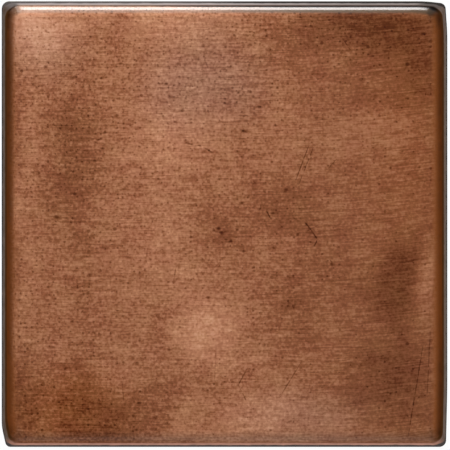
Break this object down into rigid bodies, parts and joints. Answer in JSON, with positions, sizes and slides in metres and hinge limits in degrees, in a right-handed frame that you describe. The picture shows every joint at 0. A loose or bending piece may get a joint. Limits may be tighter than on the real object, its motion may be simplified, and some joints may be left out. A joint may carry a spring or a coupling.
{
  "type": "copper wall tile",
  "caption": "Square copper wall tile pressed from one piece of sheet: a shallow open-backed pan with a flat face, crowned edges and rounded corners, bedded in adhesive on a wall.",
  "frame": {"origin": "middle of the plane of the cut rim, which the tile lies on", "axes": "+Z out of the face, +Y up on the wall, +X to the right as the face is seen"},
  "size_m": [0.1016, 0.1016, 0.0063],
  "materials": {
    "aged_copper": "satin"
  },
  "bodies": {
    "root": {"copper_tile": "aged_copper"}
  },
  "joints": []
}
